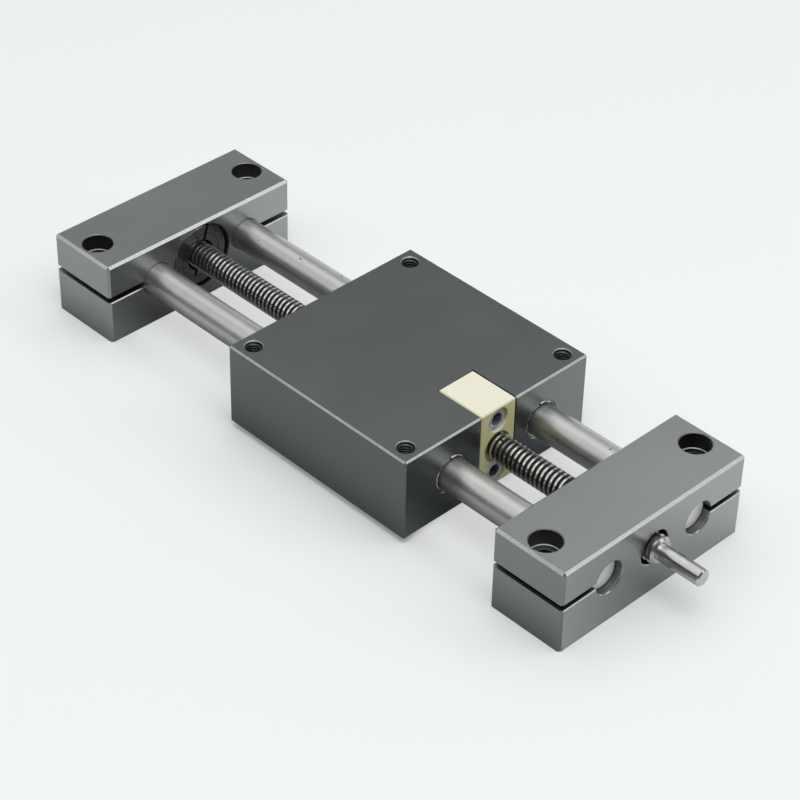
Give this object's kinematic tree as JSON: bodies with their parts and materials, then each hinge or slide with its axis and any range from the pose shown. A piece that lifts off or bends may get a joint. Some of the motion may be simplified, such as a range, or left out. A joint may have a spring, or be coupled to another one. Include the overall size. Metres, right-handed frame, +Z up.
{
  "type": "linear positioning table",
  "caption": "Compact linear table: a flat carriage runs on two round guide shafts between slit clamp blocks, moved by a trapezoidal lead screw with a plain drive journal.",
  "frame": {"origin": "midway between the four base holes, on the plane that the end blocks rest on", "axes": "+X along the guide shafts towards the drive journal, +Y across them, +Z up through the carriage top"},
  "size_m": [0.268, 0.085, 0.034],
  "materials": {
    "anodised_block": "grey anodised, satin",
    "anodised_carriage": "dark grey anodised, satin",
    "shaft_steel": "ground and matte",
    "screw_steel": "bright crests, dark oiled grooves",
    "nut_plastic": "cream, machined",
    "fastener_steel": "bright plated",
    "bearing_steel": "ground",
    "black_steel": "black oxide, turned",
    "liner_metal": "bright"
  },
  "bodies": {
    "base": {"drive_end_block": "anodised_block", "far_end_block": "anodised_block", "guide_shaft_left": "shaft_steel", "guide_shaft_right": "shaft_steel", "drive_retaining_ring": "black_steel", "far_retaining_ring": "black_steel", "drive_bearing_outer_ring": "bearing_steel", "far_bearing_outer_ring": "bearing_steel", "drive_bearing_shields": "bearing_steel", "far_bearing_shields": "bearing_steel"},
    "screw": {"lead_screw": "screw_steel", "drive_circlip_inner": "black_steel", "drive_circlip_outer": "black_steel", "drive_bearing_inner_ring": "bearing_steel", "far_bearing_inner_ring": "bearing_steel"},
    "carriage": {"carriage_block": "anodised_carriage", "liner_left_drive": "liner_metal", "liner_right_drive": "liner_metal", "liner_left_far": "liner_metal", "liner_right_far": "liner_metal", "drive_nut": "nut_plastic", "nut_screw_upper": "fastener_steel", "nut_screw_lower": "fastener_steel"},
    "drive_cage": {"drive_bearing_balls": "bearing_steel", "drive_bearing_cage": "bearing_steel"},
    "far_cage": {"far_bearing_balls": "bearing_steel", "far_bearing_cage": "bearing_steel"}
  },
  "joints": [
    {"name": "carriage_slide", "type": "slide", "parent": "base", "child": "carriage", "axis": [1, 0, 0], "range_m": [-0.0625, 0.0375]},
    {"name": "screw_spin", "type": "hinge", "parent": "base", "child": "screw", "pos_m": [0, 0, 0.018], "axis": [1, 0, 0], "range_deg": [-6755, 11255]},
    {"name": "drive_cage_spin", "type": "hinge", "parent": "base", "child": "drive_cage", "pos_m": [0.104, 0, 0.018], "axis": [1, 0, 0], "range_deg": [-2710, 4515]},
    {"name": "far_cage_spin", "type": "hinge", "parent": "base", "child": "far_cage", "pos_m": [-0.104, 0, 0.018], "axis": [1, 0, 0], "range_deg": [-2710, 4515]}
  ],
  "couplings": [
    {"joint": "screw_spin", "follows": "carriage_slide", "rad_per_m": -3141.6},
    {"joint": "drive_cage_spin", "follows": "carriage_slide", "rad_per_m": -1259.1},
    {"joint": "far_cage_spin", "follows": "carriage_slide", "rad_per_m": -1259.1}
  ]
}
